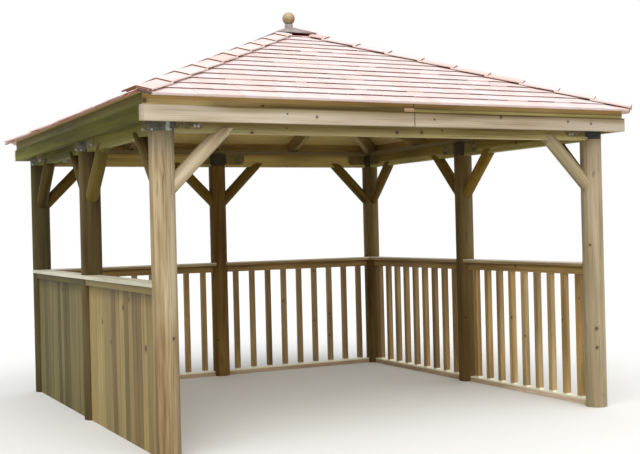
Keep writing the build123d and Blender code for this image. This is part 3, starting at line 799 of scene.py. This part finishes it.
def make_world():
    """Soft light from above, and a white background for what the camera and reflections see."""
    world = bpy.data.worlds.new("world")
    bpy.context.scene.world = world
    world.use_nodes = True
    tree = world.node_tree
    tree.nodes.clear()

    def node(kind, **settings):
        made = tree.nodes.new(kind)
        for key, value in settings.items():
            setattr(made, key, value)
        return made

    height = node("ShaderNodeSeparateXYZ")
    coordinates = node("ShaderNodeTexCoord")
    tree.links.new(coordinates.outputs["Generated"], height.inputs[0])
    sky = node("ShaderNodeValToRGB")
    sky.color_ramp.elements[0].position = 0.05
    sky.color_ramp.elements[0].color = (0.30, 0.31, 0.28, 1)
    sky.color_ramp.elements[1].position = 0.75
    sky.color_ramp.elements[1].color = (0.95, 0.97, 1.0, 1)
    tree.links.new(height.outputs["Z"], sky.inputs[0])
    facing = node("ShaderNodeVectorMath", operation="DOT_PRODUCT")
    facing.inputs[1].default_value = (0.15, -0.98, 0)
    tree.links.new(coordinates.outputs["Generated"], facing.inputs[0])
    strength = node("ShaderNodeMapRange")
    for socket, value in zip(strength.inputs[1:5], (-1.0, 1.0, 0.45, 1.75)):
        socket.default_value = value
    tree.links.new(facing.outputs["Value"], strength.inputs[0])
    light = node("ShaderNodeBackground")
    tree.links.new(sky.outputs[0], light.inputs["Color"])
    tree.links.new(strength.outputs[0], light.inputs["Strength"])
    white = node("ShaderNodeBackground")
    white.inputs["Color"].default_value = (1, 1, 1, 1)
    white.inputs["Strength"].default_value = 1.0
    path = node("ShaderNodeLightPath")
    direct = node("ShaderNodeMath", operation="MAXIMUM")
    tree.links.new(path.outputs["Is Camera Ray"], direct.inputs[0])
    tree.links.new(path.outputs["Is Glossy Ray"], direct.inputs[1])
    seen = node("ShaderNodeMath", operation="MAXIMUM")
    tree.links.new(direct.outputs[0], seen.inputs[0])
    tree.links.new(path.outputs["Is Transmission Ray"], seen.inputs[1])
    mix = node("ShaderNodeMixShader")
    tree.links.new(seen.outputs[0], mix.inputs[0])
    tree.links.new(light.outputs[0], mix.inputs[1])
    tree.links.new(white.outputs[0], mix.inputs[2])
    output = node("ShaderNodeOutputWorld")
    tree.links.new(mix.outputs[0], output.inputs["Surface"])


def make_light(name, azimuth, elevation, strength, spread, colour):
    """A broad sun from an azimuth round the object, 0 in front and 90 on the right."""
    data = bpy.data.lights.new(name, "SUN")
    data.energy = strength
    data.angle = math.radians(spread)
    data.color = colour
    lamp = linked(name, data)
    a, e = math.radians(azimuth), math.radians(elevation)
    towards = Vector((math.sin(a) * math.cos(e), -math.cos(a) * math.cos(e), math.sin(e)))
    lamp.rotation_mode = "QUATERNION"
    lamp.rotation_quaternion = towards.to_track_quat("Z", "Y")


def make_floor():
    """A plain pale floor, whose bounce is no more than a terrace gives."""
    mesh = bpy.data.meshes.new("floor")
    reach = 60
    corners = [(-reach, -reach, 0), (reach, -reach, 0), (reach, reach, 0), (-reach, reach, 0)]
    mesh.from_pydata(corners, [], [(0, 1, 2, 3)])
    floor = linked("floor", mesh)
    g = Graph("floor")
    path = g.node("ShaderNodeLightPath")
    seen = g.math("MAXIMUM", path.outputs["Is Camera Ray"], path.outputs["Is Glossy Ray"])
    g.set(g.shader.inputs["Base Color"], g.mix(seen, rgb(205, 203, 194), rgb(238, 238, 236)))
    g.shader.inputs["Roughness"].default_value = 0.9
    mesh.materials.append(g.material)


def dress_posts():
    """Round posts with drying cracks, greener and darker towards the back left; the darker sets under the
    roof are painted shade.
    """
    # The front posts have painted shade at the top, the back post painted light low down and the right posts
    # painted light above the rails. The front left post is also greyer on its right side and a little darker
    # low down.
    for name, colours, contrast, shine, members, fades in (
            ("post_front_left", POST, 1.35, IN_OPEN, ["front_left_post"],
             [(X, -1.69, -1.63, rgb(240, 244, 250)), (Z, 1.72, 1.92, rgb(214, 222, 226)),
              (Z, 0.95, 0.65, rgb(240, 232, 222))]),
            ("post_front_right", GREY_POST, 0.9, IN_OPEN, ["front_right_post"],
             [(Z, 1.55, 1.8, rgb(238, 232, 232))]),
            ("post_back", DARK_POST, 1.0, UNDER_ROOF, ["back_middle_post"],
             [(Z, 1.1, 0.9, rgb(290, 290, 296))]),
            ("post_right", SHADY_POST, 1.0, UNDER_ROOF, ["back_right_post", "middle_right_post"],
             [(Z, 1.0, 1.2, rgb(266, 278, 288))]),
            ("post_left", SHADED_GREEN_POST, 1.0, UNDER_ROOF, ["middle_left_post"], []),
            ("post_back_left", DEEP_SHADED_GREEN_POST, 1.0, UNDER_ROOF, ["back_left_post"], [])):
        look = wood(name, grain_axis(Z), colours, post_tone, WARM_COOL, contrast=contrast, fades=fades,
                    knots=POST_KNOTS.get(name, ()), random_knots=(5.0, 0.3, 0.012), checks=0.8, shine=shine)
        dress(members, look, BIG_EDGE)


def dress_beams():
    """Ring beams, and the wall plates on them."""
    # The front beam is darker on its left half, with painted shade along its top under the fascia and a
    # painted highlight along its foot. The back and right beams have painted shade along their tops, and the
    # left beam, a darker set with painted shade, is darker still towards the back.
    front = wood("beam_front", grain_axis(X), FRONT_BEAM, knots=BEAM_KNOTS,
                 fades=[(X, 0.4, 0.0, rgb(218, 218, 220)), (Z, 1.985, 2.010, rgb(226, 218, 200)),
                        (Z, 1.985, 1.962, rgb(288, 292, 312))])
    dress(["front_beam"], front, BIG_EDGE)
    back = wood("beam_back", grain_axis(X), BACK_BEAM, fades=[(Z, 2.045, 2.066, rgb(216, 200, 180))])
    dress(["back_left_beam", "back_right_beam"], back, BIG_EDGE)
    left = wood("beam_left", grain_axis(Y), LEFT_BEAM, fades=[(Y, -0.5, 0.4, rgb(204, 210, 190))],
                shine=UNDER_ROOF)
    dress(["left_front_beam", "left_back_beam"], left, BIG_EDGE)
    right = wood("beam_right", grain_axis(Y), RIGHT_BEAM, knots=knots_on(X, 1.615, [(-0.807, 2.008, 0.012)]),
                 fades=[(Z, 1.985, 2.012, rgb(190, 176, 136))], shine=UNDER_ROOF)
    dress(["right_front_beam", "right_back_beam"], right, BIG_EDGE)
    dress(["wall_plates"], wood("plate", grain_eaves, PLATE), SMALL_EDGE)


def dress_braces():
    """Round knee braces, pale at the front, with painted shade on those under the roof and painted light
    towards the front on the left and right ones.
    """
    front = wood("brace_front", grain_brace(X), BRACE, stretch_tone(X, -1.7, 0), FRONT_BRACE_TINTS,
                 knots=[((-1.298, -1.697, 1.882), 0.010)])
    dress(["front_braces"], front, LOG_EDGE)
    dress(["back_braces"], wood("brace_back", grain_brace(X), SHADED_BRACE, shine=UNDER_ROOF), LOG_EDGE)
    left = wood("brace_left", grain_brace(Y), LEFT_BRACE, stretch_tone(Y, -0.6, -0.05), SHADY_TINTS,
                fades=[(Y, -0.7, -1.0, rgb(304, 308, 350))], shine=UNDER_ROOF)
    dress(["left_braces"], left, LOG_EDGE)
    right = wood("brace_right", grain_brace(Y), SHADED_BRACE, fades=[(Y, 0.0, -0.1, rgb(300, 298, 284))],
                 shine=UNDER_ROOF)
    dress(["right_braces"], right, LOG_EDGE)


def dress_fences():
    """Balustrades on the back and right, and the cap rails on every fenced side, with painted light and
    shade.
    """
    back = wood("fence_x", grain_fence(X), FENCE, fence_tone(X), WARM_COOL, knots=BACK_FENCE_KNOTS,
                fades=FENCE_LIGHT_AND_SHADE, lines=FOOT_RAIL_HIGHLIGHT)
    dress(["back_left_balustrade", "back_right_balustrade"], back, SMALL_EDGE)
    # The right balustrade has painted light towards the front.
    right = wood("fence_y", grain_fence(Y), FENCE, fence_tone(Y), WARM_COOL, knots=RIGHT_FENCE_KNOTS,
                 fades=[(Y, -0.2, -0.9, rgb(292, 300, 310))] + FENCE_LIGHT_AND_SHADE, lines=FOOT_RAIL_HIGHLIGHT)
    dress(["right_front_balustrade", "right_back_balustrade"], right, SMALL_EDGE)
    dress(["back_cap_rails"], wood("rail_x", grain_axis(X), RAIL, fades=RAIL_TOP_HIGHLIGHT, lines=RAIL_EDGE_HIGHLIGHT), BIG_EDGE)
    dress(["right_cap_rails"], wood("rail_y", grain_axis(Y), RAIL, fades=RAIL_TOP_HIGHLIGHT, lines=RAIL_EDGE_HIGHLIGHT), BIG_EDGE)
    dress(["left_cap_rails"], wood("rail_left", grain_axis(Y), PALE_RAIL), BIG_EDGE)


def dress_fascia():
    """Fascia boards: darker at the left end of the front one, with painted shade along its top away from that
    end, and mossy and in painted shade on the left.
    """
    front = wood("fascia_front", grain_axis(X), FASCIA, knots=FASCIA_KNOTS, lines=[(X, 0.028, 0.003, JOINT)],
                 fades=[(X, -1.4, 1.6, rgb(234, 230, 228)), (X, -1.803, -1.815, rgb(230, 230, 228)),
                        (Z, 2.058, 2.096, rgb(206, 200, 176), (X, -1.5, -1.2)),
                        (Z, 2.092, 2.098, rgb(186, 174, 136), (X, -1.6, -1.3))])
    dress(["front_fascia"], front, SMALL_EDGE)
    dress(["back_fascia"], wood("fascia_back", grain_axis(X), FASCIA), SMALL_EDGE)
    dress(["right_fascia"], wood("fascia_right", grain_axis(Y), FASCIA), SMALL_EDGE)
    left = wood("fascia_left", grain_axis(Y), MOSSY_SHADED_FASCIA, shine=MATT,
                fades=[(Y, -0.2, 1.0, rgb(288, 292, 320)),
                       (Z, 2.068, 2.030, rgb(290, 298, 310), (Y, 0.0, 0.8))])
    dress(["left_fascia"], left, SMALL_EDGE)


def dress_eaves():
    """The eaves board: mossy and in painted shade on the left, with painted shade along its top under the
    shingles and along its foot above the fascia, and painted light on its foot right of its joint and at its
    left end.
    """
    front, near_corner, past_corner = (Y, -1.802, -1.810), (X, -1.5, -1.3), (X, -1.3, -0.9)
    look = wood("eaves", grain_eaves, {"left": MOSSY_SHADED_EAVES, "other": EAVES}, knots=EAVES_KNOTS_AND_CORNER_SHADE,
                lines=[(X, 0.029, 0.003, JOINT)],
                fades=[(Z, 2.128, 2.142, rgb(232, 216, 198)),
                       (Z, 2.150, 2.128, rgb(212, 212, 204), front, near_corner),
                       (Z, 2.136, 2.128, rgb(208, 206, 176), front, past_corner),
                       (Z, 2.122, 2.112, rgb(204, 192, 168), front, past_corner, (X, 0.0, -0.7)),
                       (Z, 2.128, 2.118, rgb(372, 398, 460), front, (X, 0.028, 0.034)),
                       (Z, 2.118, 2.110, rgb(296, 304, 318), front, (X, -1.3, -1.5))])
    dress(["eaves_boards"], look, SMALL_EDGE)


def dress_roof_timber():
    """What holds the roof up, the boards over it, and the ball on top."""
    dress(["rafters"], wood("rafter", grain_rafter, RAFTER), SMALL_EDGE)
    dress(["hip_rafters"], wood("hip_rafter", grain_hip, RAFTER), SMALL_EDGE)
    dress(["king_post"], wood("king", grain_axis(Z), RAFTER), SMALL_EDGE)
    dress(["roof_deck"], wood("deck", grain_rafter, DECK, contrast=0.35,
                              fades=[(X, -1.810, -1.814, rgb(153, 145, 120))]))
    # The ball has painted shade on its right side.
    dress(["finial_ball"], wood("ball", grain_axis(X), BALL, fades=[(X, -0.02, 0.04, rgb(226, 192, 164))]))


def dress_metal():
    """Brackets on the post tops, with painted shade on those away from the front and left, painted
    reflections on their arms and a painted highlight on the left posts' collars, and the apex cap with
    painted shade on its right side.
    """
    # An upright strip at the left posts' collars is a painted highlight; the right posts' brackets are
    # darker.
    steel = metal("steel", (rgb(54, 50, 44), rgb(118, 116, 104)), 0.5, 60, 0.35,
                  shaded_inner=(rgb(40, 29, 16), rgb(61, 51, 34)), arms=(rgb(334, 308, 236), rgb(500, 516, 410)),
                  fades=[(X, -1.652, -1.638, rgb(440, 456, 480)), (X, -1.624, -1.612, rgb(148, 143, 136)),
                         (X, 1.2, 1.4, rgb(226, 222, 214)), (X, 1.55, 1.58, rgb(178, 176, 172))])
    dress(["corner_brackets", "middle_brackets"], steel)
    apex = metal("apex", (rgb(140, 128, 127), rgb(172, 160, 158)), 0.4, 40, 0.15,
                 fades=[(X, -0.01, 0.12, rgb(222, 200, 192))])
    dress(["apex_cap"], apex)


def make_roof_covering():
    """Shingles on every side, browner at the butts away from the front, and the caps on the hips. The dark
    butt lines are end grain with painted shade, and the wood under the apex cap has painted shade.
    """
    def shingle(name, ends):
        return wood(name, grain_board, SHINGLE, board_tone, SHINGLE_TINTS, contrast=0.4, ends=ends,
                    fades=APEX_HOLLOW_SHADE)

    front = shingle("shingle", SHINGLE_END_GRAIN_AND_SHADE["front"])
    # The hip caps have painted shade at their tops, under the apex cap's edge.
    hip_cap = wood("hip_cap", grain_board, SHINGLE, board_tone, CAP_TINTS, contrast=0.5, ends=CAP_END_GRAIN_AND_SHADE,
                   fades=[(Z, 2.894, 2.904, rgb(156, 104, 98))])
    warm = shingle("warm_shingle", SHINGLE_END_GRAIN_AND_SHADE["warm"])
    left = shingle("left_shingle", SHINGLE_END_GRAIN_AND_SHADE["left"])
    for side in SIDES:
        make_shingles(side, {"front": front, "left": left}.get(side, warm))
    make_hip_caps(hip_cap)


def make_left_side():
    """The two boarded bays, the back one darker with painted shade, and both with painted shade under the cap
    rail.
    """
    panel = wood("panel", grain_board, PANEL, board_tone, PANEL_TINTS, knots=PANEL_KNOTS, fades=SHADE_UNDER_RAIL,
                 contrast=0.65)
    shaded_panel = wood("shaded_panel", grain_board, SHADED_PANEL, board_tone, PANEL_TINTS, knots=PANEL_KNOTS,
                      fades=SHADE_UNDER_RAIL, contrast=0.65, shine=0.15)
    make_panel("left_front_boards", -HALF, panel)
    make_panel("left_back_boards", 0.0, shaded_panel)


bpy.context.scene.view_settings.view_transform = "Standard"
make_camera()
make_world()
make_light("key", azimuth=-26, elevation=48, strength=1.5, spread=70, colour=(1.0, 0.97, 0.93))
make_floor()

dress_posts()
dress_beams()
dress_braces()
dress_fences()
dress_fascia()
dress_eaves()
dress_roof_timber()
dress_metal()
make_roof_covering()
make_left_side()
# The bolts away from the front and left have painted shade.
make_bolts(metal("bolt", (rgb(160, 160, 156), rgb(200, 200, 196)), 0.4, 200, 0.6,
                 shaded_inner=(rgb(84, 74, 52), rgb(120, 110, 84))))
make_block(wood("block", grain_board, BLOCK))
